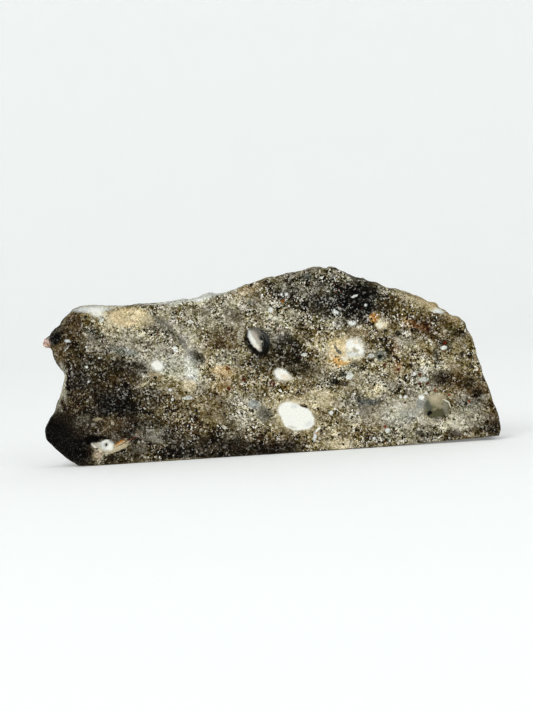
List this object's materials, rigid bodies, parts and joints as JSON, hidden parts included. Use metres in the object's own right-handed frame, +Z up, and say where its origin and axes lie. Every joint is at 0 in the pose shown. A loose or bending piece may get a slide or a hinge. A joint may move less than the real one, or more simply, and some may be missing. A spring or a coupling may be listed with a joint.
{
  "type": "lunar meteorite slice",
  "caption": "Thin sawn slice of a pale-and-dark lunar breccia with a natural broken rim, standing on its straight sawn lower edge.",
  "frame": {"origin": "under the middle of the slice, on the surface that it stands on", "axes": "+X along the slice's length, to the right as the front face is seen; +Y through its thickness, from the front face to the back; +Z up"},
  "size_m": [0.058, 0.005, 0.0233],
  "materials": {
    "breccia": "sawn and lightly polished faces, rough broken rim"
  },
  "bodies": {
    "root": {"meteorite_slice": "breccia"}
  },
  "joints": []
}
